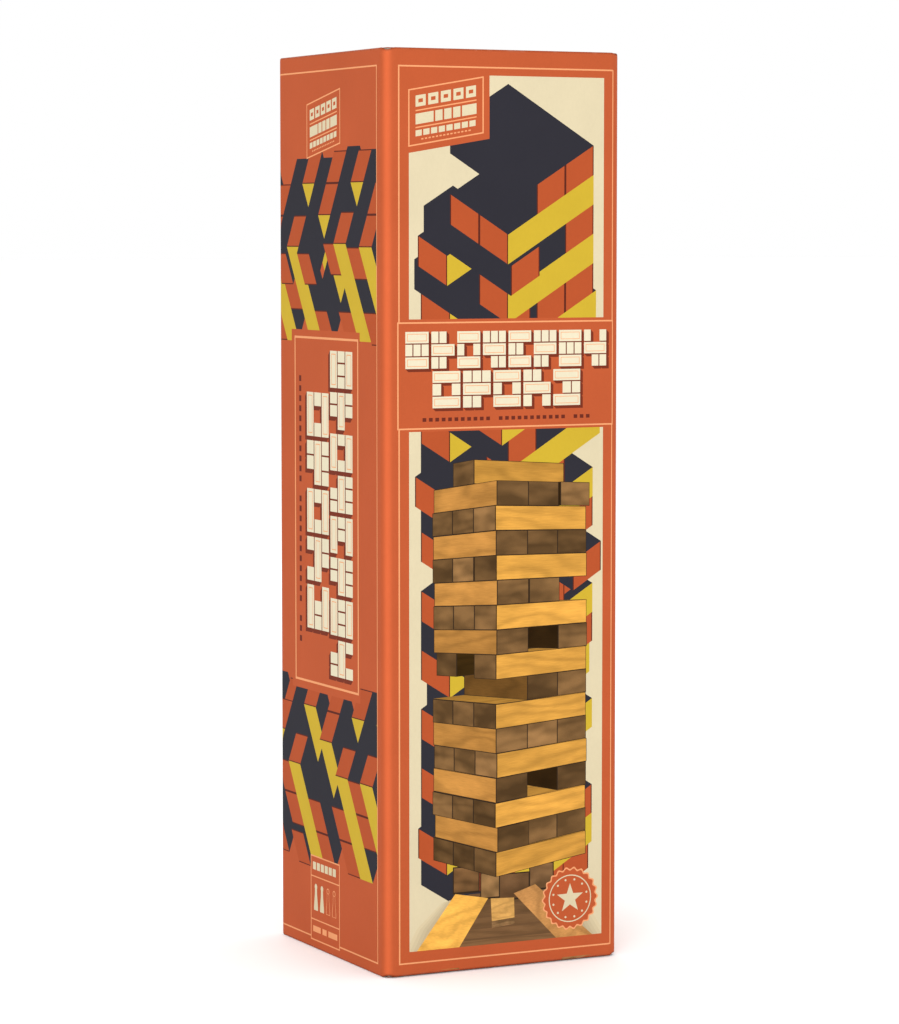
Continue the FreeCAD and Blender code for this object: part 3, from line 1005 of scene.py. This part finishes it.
def wrap_point(across, down):
    """A sheet point's place and outward direction, its turn over an edge, and its share of the painted fold
    highlight.
    """
    over = Vector((max(0, across - flat_right) + min(0, across - flat_left),
                   max(0, down - flat_bottom) + min(0, down - flat_top)))
    forward, depth, turn = edge_roll(over.length)
    heading = over.normalized() if over.length else Vector((0, 0))
    across = min(max(across, flat_left), flat_right) + heading.x * forward
    down = min(max(down, flat_top), flat_bottom) + heading.y * forward
    lift, dip, fold_highlight = (cover_lift if across > front_at else 0.0), 0.0, 0.0
    for (_, _, _, before), (corner, place, along, after) in zip(panels, panels[1:]):
        if abs(across - corner) < fold_radius:
            share = (across - corner + fold_radius) / (2 * fold_radius)
            bend = share * math.pi / 2
            out = before * math.cos(bend) + after * math.sin(bend)
            off_board = min(1, min(share, 1 - share) / fold_ease)
            depth *= 1 - fold_flatten * off_board ** 2 * (3 - 2 * off_board)
            spot = place - fold_radius * (before + after) + (fold_radius - depth) * out
            along = Vector((-out.y, out.x))
            dip = fold_dip * math.sin(share * math.pi) ** 2
            # A painted highlight along the middle of the fold, at full strength on the cover's fold.
            fold_highlight = math.cos(math.pi / 2 * min(1, abs(share - 0.5) / fold_highlight_half)) ** 2
            fold_highlight *= 1.0 if corner == front_at else other_fold_highlight
            if corner == front_at:
                lift = cover_lift * share * share * (3 - 2 * share)
            break
    else:
        start, place, along, out = [panel for panel in panels if panel[0] <= max(across, 0)][-1]
        spot = place + (across - start) * along - depth * out
    height = lift + dip + (tall - down) * (1 - (lift + 2 * dip) / tall)
    along = heading.x * along
    normal = Vector((math.cos(turn) * out.x + math.sin(turn) * along.x,
                     math.cos(turn) * out.y + math.sin(turn) * along.y,
                     -math.sin(turn) * heading.y))
    return Vector((spot.x, spot.y, height)) * MM, normal.normalized(), math.sin(turn), fold_highlight


def sheet_mesh(name, sheet, shape, first=-1000, last=1000):
    """An object from the part of a sheet between two lines, bent to shape, with its print."""
    flat_points, flat_faces = sheet
    faces, looks = [], []
    for face, look in flat_faces:
        if first < sum(flat_points[number].x for number in face) / len(face) < last:
            faces.append(tuple(reversed(face)))
            looks.append(look)
    used = sorted({number for face in faces for number in face})
    place_of = {number: place for place, number in enumerate(used)}
    wrapped = [shape(*flat_points[number]) for number in used]
    mesh = bpy.data.meshes.new(name)
    mesh.from_pydata([spot for spot, _, _, _ in wrapped], [],
                     [[place_of[number] for number in face] for face in faces])
    mesh.shade_smooth()
    mesh.normals_split_custom_set_from_vertices([normal for _, normal, _, _ in wrapped])
    ink_values, grain_values, finish_values = [], [], []
    for face, (_, colour, kind, grain_frame) in zip(faces, looks):
        for number in face:
            ink_values += (*colour, 1)
            finish_values.append(kind)
            grain_values += grain_place(flat_points[number], grain_frame) if grain_frame else (0, 0, 0)
    for kind, domain, attribute_name, field, values in (
            ("FLOAT_COLOR", "CORNER", "ink", "color", ink_values),
            ("FLOAT_VECTOR", "CORNER", "grain", "vector", grain_values),
            ("FLOAT", "CORNER", "finish", "value", finish_values),
            ("FLOAT", "POINT", "roll_wear_and_shade", "value", [roll_wear_and_shade for _, _, roll_wear_and_shade, _ in wrapped]),
            ("FLOAT", "POINT", "fold_highlight", "value", [fold_highlight for _, _, _, fold_highlight in wrapped])):
        mesh.attributes.new(attribute_name, kind, domain).data.foreach_set(field, values)
    piece = bpy.data.objects.new(name, mesh)
    bpy.context.collection.objects.link(piece)
    piece.data.materials.append(printed_paper)
    return piece


def grain_place(point, grain_frame):
    """Millimetres along and across the grain at a point of a printed block, and its own seed."""
    start, along_end, across_end, length, height, seed = grain_frame
    start, along, across = Vector(start), Vector(along_end), Vector(across_end)
    along, across, offset = along - start, across - start, point - start
    span = along.cross(across) or 1e-9
    return (offset.cross(across) / span * length, along.cross(offset) / span * height, seed)


# The printed paper: inks under a matt film with hardly any gloss. The rolled edges carry painted
# shade and patches of rubbed film, a painted highlight runs along the middle of each fold, most on
# the cover's, and the pictures of wood have the grain printed in.
printed_paper, print_tree, print_shader = new_material("printed paper", 0.4)
print_shader.inputs["Specular IOR Level"].default_value = 0.02
ink_read = add_node(print_tree, "Attribute", attribute_name="ink").outputs["Color"]
finish_read = add_node(print_tree, "Attribute", attribute_name="finish").outputs["Fac"]
print_place = add_node(print_tree, "Attribute", attribute_name="grain").outputs["Vector"]
roll_wear_and_shade_read = add_node(print_tree, "Attribute", attribute_name="roll_wear_and_shade").outputs["Fac"]
end_share = maths(print_tree, "GREATER_THAN", finish_read, 1.5)
wood_share = maths(print_tree, "GREATER_THAN", finish_read, 0.5)
print_grain = place_group(print_tree, wood_grain, {"Place": print_place, "End": end_share})
wood_tone = maths(print_tree, "SUBTRACT", 1.1, maths(print_tree, "MULTIPLY", print_grain["Rings"], 0.22))
wood_tone = maths(print_tree, "MULTIPLY", wood_tone,
                  maths(print_tree, "MULTIPLY_ADD", print_grain["Fibres"], 0.5, 0.75))
char = noise(print_tree, print_place, 0.075, 2, (0.45, 1, 1))
char = maths(print_tree, "MULTIPLY_ADD", char, 3.6, -1.2, clamp=True)
char_depth = maths(print_tree, "MULTIPLY_ADD", end_share, 0.34, 0.22)
wood_tone = maths(print_tree, "MULTIPLY", wood_tone, maths(
    print_tree, "SUBTRACT", 1.15, maths(print_tree, "MULTIPLY", char, char_depth)))
print_fibre = place_group(print_tree, paper_fibre, {"Place": object_place(print_tree), "Mottle": 0.10})
tone = add_node(print_tree, "Mix", {0: wood_share, 2: print_fibre["Tone"], 3: wood_tone}).outputs[0]
# A painted highlight: the print is made paler along the middle of each fold, most on the cover's.
fold_highlight_read = add_node(print_tree, "Attribute", attribute_name="fold_highlight").outputs["Fac"]
# Painted shade: the print is made darker where the sheet rolls over the boards' edges; the fold value then
# adds the painted highlight.
for place_read, gain in ((roll_wear_and_shade_read, -0.28), (fold_highlight_read, 0.36)):
    tone = maths(print_tree, "MULTIPLY", tone, maths(print_tree, "MULTIPLY_ADD", place_read, gain, 1.0))
inked = mixed_colour(print_tree, 1.0, ink_read, tone, "MULTIPLY")

# Edge wear: patches of rubbed film and bared paper where the Rub attribute is high.
edge_wear, wear_in, wear_out = shader_group(
    "edge wear", {"Place": ("Vector", None), "Rub": ("Float", 0.0)}, {"Worn": "Float"})
patches = maths(edge_wear, "SUBTRACT", noise(edge_wear, wear_in["Place"], 260, 5), 0.5)
patches = maths(edge_wear, "MULTIPLY", patches, 5.0, clamp=True)
edge_wear.links.new(maths(edge_wear, "MULTIPLY", patches, wear_in["Rub"], clamp=True), wear_out["Worn"])
worn = place_group(print_tree, edge_wear, {"Place": object_place(print_tree), "Rub": roll_wear_and_shade_read})["Worn"]
bared_paper = (0.80, 0.50, 0.38, 1)
print_tree.links.new(mixed_colour(print_tree, maths(print_tree, "MULTIPLY", worn, 0.16), inked,
                                  bared_paper), print_shader.inputs["Base Color"])
print_tree.links.new(maths(print_tree, "MULTIPLY_ADD", worn, 0.2, 0.50), print_shader.inputs["Roughness"])
bumped(print_tree, print_shader, print_fibre["Height"], 0.000012)


for name, first, last, body, covered in (
        ("case_print", -reach, front_at - fold_radius, "box", "case_wrap"),
        ("cover_hinge_print", front_at - fold_radius, front_at + fold_radius, None, "cover_fold"),
        ("front_print", front_at + fold_radius, flap_at - fold_radius, "cover", "front_wrap"),
        ("flap_hinge_print", flap_at - fold_radius, flap_at + fold_radius, None, "flap_fold"),
        ("flap_print", flap_at + fold_radius, sheet_end + reach, "flap", "flap_wrap")):
    piece = sheet_mesh(name, wrap_sheet, wrap_point, first, last)
    if body:
        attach(piece, body)
    elif covered == "cover_fold":
        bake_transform(piece)
    else:
        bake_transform(piece)
    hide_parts(covered)

# ---- The rules leaflet -------------------------------------------------------------------
# One sheet of white paper folded into eight leaves, standing in front of the stack. Its fold
# is on the left, and its free leaves fan out by a hair on the right.

leaflet_white = (0.560, 0.545, 0.500, 1)
leaflet_leaves = 8

leaflet_paper = fibrous("leaflet paper", 0.6, leaflet_white, 0.12, 0)
leaf_low, leaf_high = (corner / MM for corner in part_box("rules_leaflet"))
leaf_pitch = (leaf_high.y - leaf_low.y) / leaflet_leaves
leaves = []
for number in range(leaflet_leaves):
    start = leaf_low + Vector((0, number * leaf_pitch, 0))
    end = Vector((leaf_high.x - 0.35 * (number % 3), start.y + leaf_pitch * 0.8,
                  leaf_high.z - 0.3 * (number % 2)))
    leaves.append(eased_block("leaf", start, end, 0.03, 1))
leaves.append(eased_block("leaf", leaf_low, (leaf_low.x + 0.6, leaf_high.y, leaf_high.z), 0.28, 3))

printed.clear()
leaf_wide, leaf_tall = leaf_high.x - leaf_low.x, leaf_high.z - leaf_low.z
paint_box(0.7, 0.7, leaf_wide - 1.1, leaf_tall - 0.7, "cream")
paint_frame(box_corners(4, 4, leaf_wide - 4.4, leaf_tall - 4), 0.6, "ground")
paint_box(10, 9, leaf_wide - 10, 20, "ground")
for number in range(6):
    paint_box(13.4 + number * 8.2, 11.6, 19.4 + number * 8.2, 17.4, "cream")
for number, (layers, seed) in enumerate(((5, 60), (8, 65))):
    isometric_tower(placing(21, 62.0 + number * 36, 0.34), layers, seed, gaps_from=0 if number else 9)
    for line in range(6):
        line_top = 44 + number * 33 + line * 3.4
        paint_box(38, line_top, 64 - 6 * (line == 5), line_top + 1.2, "caption")
paint_box(10, 26, leaf_wide - 10, 26.7, "ground")


def leaf_front(across, down):
    """A point of the leaflet's printed front, which faces the cover."""
    return (leaf_low + Vector((across, -0.02, leaf_tall - down))) * MM, Vector((0, -1, 0)), 0.0, 0.0


leaves.append(sheet_mesh("leaf_print", cut_out([]), leaf_front))
leaves[0].data.materials.append(leaflet_paper)
stand_for(joined(leaves, "rules_leaflet_folded"), "rules_leaflet", "box")

# ---- The linings -------------------------------------------------------------------------
# The same red paper as the tray's, pasted inside the front cover and the flap, with a strip
# down each hinge that follows the boards' ends and the bare wrap between them.

for lining, body in (("front_lining", "cover"), ("flap_lining", "flap")):
    fit_over(lining, lining + "_pasted", body, lining_paper, 0)

strip_depth = 0.45
strip_thick = 0.1
strip_margin = 2.0
bend_place = fold_radius - strip_depth


def hinge_strip(name, bend_centre, first_turn, before, after):
    """A strip of lining: from the points before, round a quarter bend, to the points after."""
    bpy.ops.object.select_all(action="DESELECT")
    bpy.ops.mesh.primitive_circle_add(vertices=72, radius=bend_place * MM, location=(0, 0, 0))
    strip = bpy.context.object
    strip.name = strip.data.name = name
    bpy.ops.object.mode_set(mode="EDIT")
    mesh = bmesh.from_edit_mesh(strip.data)
    for vertex in mesh.verts:
        turn = (math.atan2(vertex.co.y, vertex.co.x) - first_turn) % (2 * math.pi)
        vertex.select_set(not math.radians(4) < turn < math.radians(86))
    bpy.ops.mesh.delete(type="VERT")
    bpy.ops.mesh.select_all(action="SELECT")
    bpy.ops.transform.translate(value=(bend_centre[0] * MM, bend_centre[1] * MM, strip_margin * MM))
    for points in (before, after):
        mesh = bmesh.from_edit_mesh(strip.data)
        ends = [vertex for vertex in mesh.verts if len(vertex.link_edges) == 1]
        ends.sort(key=lambda vertex: (vertex.co.xy - Vector(points[0]) * MM).length)
        here = ends[0]
        bpy.ops.mesh.select_all(action="DESELECT")
        here.select_set(True)
        mesh.select_flush_mode()
        spot = Vector(here.co.xy)
        for point in points:
            step = Vector(point) * MM - spot
            bpy.ops.mesh.extrude_region_move(TRANSFORM_OT_translate={"value": (step.x, step.y, 0)})
            spot = Vector(point) * MM
    bpy.ops.mesh.select_all(action="SELECT")
    bpy.ops.mesh.extrude_region_move(
        TRANSFORM_OT_translate={"value": (0, 0, (tall - 2 * strip_margin) * MM)})
    bpy.ops.mesh.select_all(action="SELECT")
    bpy.ops.mesh.normals_make_consistent(inside=False)
    bpy.ops.object.mode_set(mode="OBJECT")
    thickness = strip.modifiers.new("thickness", "SOLIDIFY")
    thickness.thickness = strip_thick * MM
    thickness.offset = 0
    apply_modifiers(strip)
    bpy.ops.object.shade_smooth_by_angle(angle=math.radians(40))
    strip.data.materials.append(lining_paper)
    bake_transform(strip)
    return strip


end_gap = 0.08
pasted_wide = 1.95
left, right = -wide / 2 + fold_radius, wide / 2 - fold_radius
near = -deep / 2 + fold_radius
paste = -deep / 2 + panel_thick + strip_thick / 2
flap_paste = wide / 2 - panel_thick - strip_thick / 2
hinge_strip("cover_hinge_lining", (left, near), math.pi,
            [(left - bend_place + 0.02, near - end_gap), (-wide / 2 + panel_thick + 0.12, near - end_gap)],
            [(left - end_gap, near - bend_place + 0.02), (left - end_gap, paste),
             (left + pasted_wide, paste)])
hinge_strip("flap_hinge_lining", (right, near), 3 * math.pi / 2,
            [(right + end_gap, near - bend_place + 0.02), (right + end_gap, paste),
             (right - pasted_wide, paste)],
            [(right + bend_place - 0.02, near - end_gap), (flap_paste, near - end_gap),
             (flap_paste, near + pasted_wide)])
